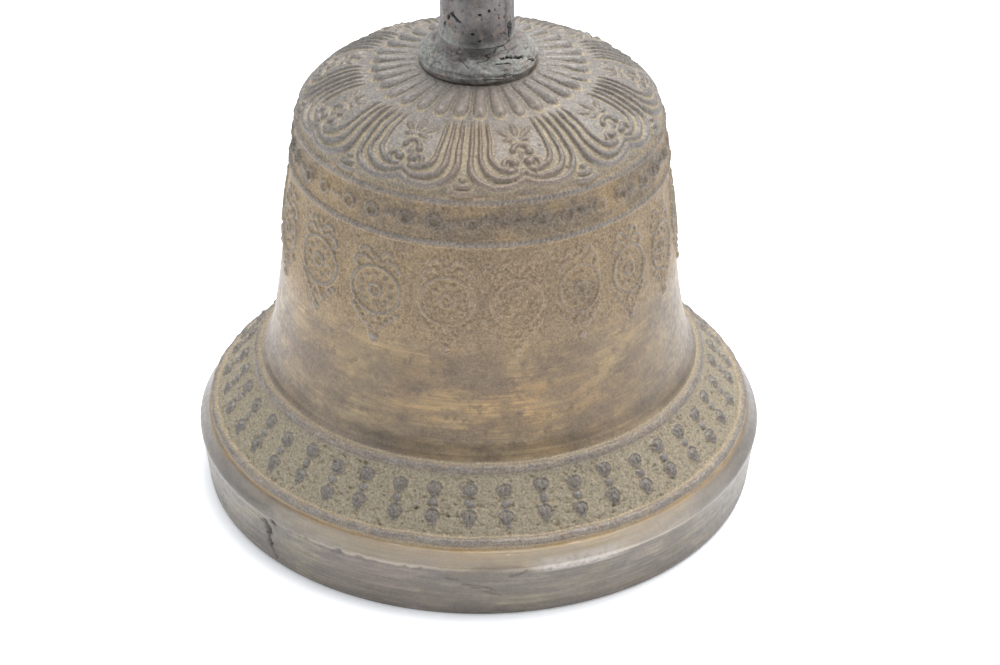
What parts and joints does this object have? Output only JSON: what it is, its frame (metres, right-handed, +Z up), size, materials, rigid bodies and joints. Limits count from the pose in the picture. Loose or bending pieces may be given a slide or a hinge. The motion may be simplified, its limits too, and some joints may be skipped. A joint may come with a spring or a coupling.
{
  "type": "hand bell",
  "caption": "Cast bronze hand bell with flared mouth, relief bands and petals, beaded lotus handle with a four-pronged finial, and a clapper on a forged ring.",
  "frame": {"origin": "centre of the mouth plane, which the bell stands on", "axes": "+Z up the bell's axis towards the finial; the eye and the clapper's loop lie in the XZ plane, the hanger ring in the YZ plane"},
  "size_m": [0.09, 0.09, 0.1784],
  "materials": {
    "bell_bronze": "aged bronze with a grey-brown patina",
    "handle_metal": "dull dark bronze casting",
    "dark_iron": "dark forged iron"
  },
  "bodies": {
    "bell": {"bell_body": "bell_bronze", "handle_collar": "handle_metal", "handle_neck": "handle_metal", "lower_bead_ring": "handle_metal", "lower_lotus": "handle_metal", "grip": "handle_metal", "upper_bead_ring": "handle_metal", "upper_lotus": "handle_metal", "finial_base": "handle_metal", "prong_front": "handle_metal", "prong_right": "handle_metal", "prong_back": "handle_metal", "prong_left": "handle_metal", "center_prong": "handle_metal", "finial_cap": "handle_metal", "handle_rod": "dark_iron", "crown_washer": "dark_iron", "crown_nut": "dark_iron"},
    "ring": {"hanger_ring": "dark_iron"},
    "clapper": {"clapper_stem": "dark_iron", "clapper_collar": "dark_iron", "clapper_bob": "dark_iron", "clapper_rivet": "dark_iron"}
  },
  "joints": [
    {"name": "ring_twist", "type": "hinge", "parent": "bell", "child": "ring", "pos_m": [0, 0, 0.05005], "axis": [0, 0, 1], "range_deg": [-35, 35]},
    {"name": "clapper_swing", "type": "hinge", "parent": "ring", "child": "clapper", "pos_m": [0, 0, 0.04505], "axis": [0, 1, 0], "range_deg": [-41, 41]}
  ]
}
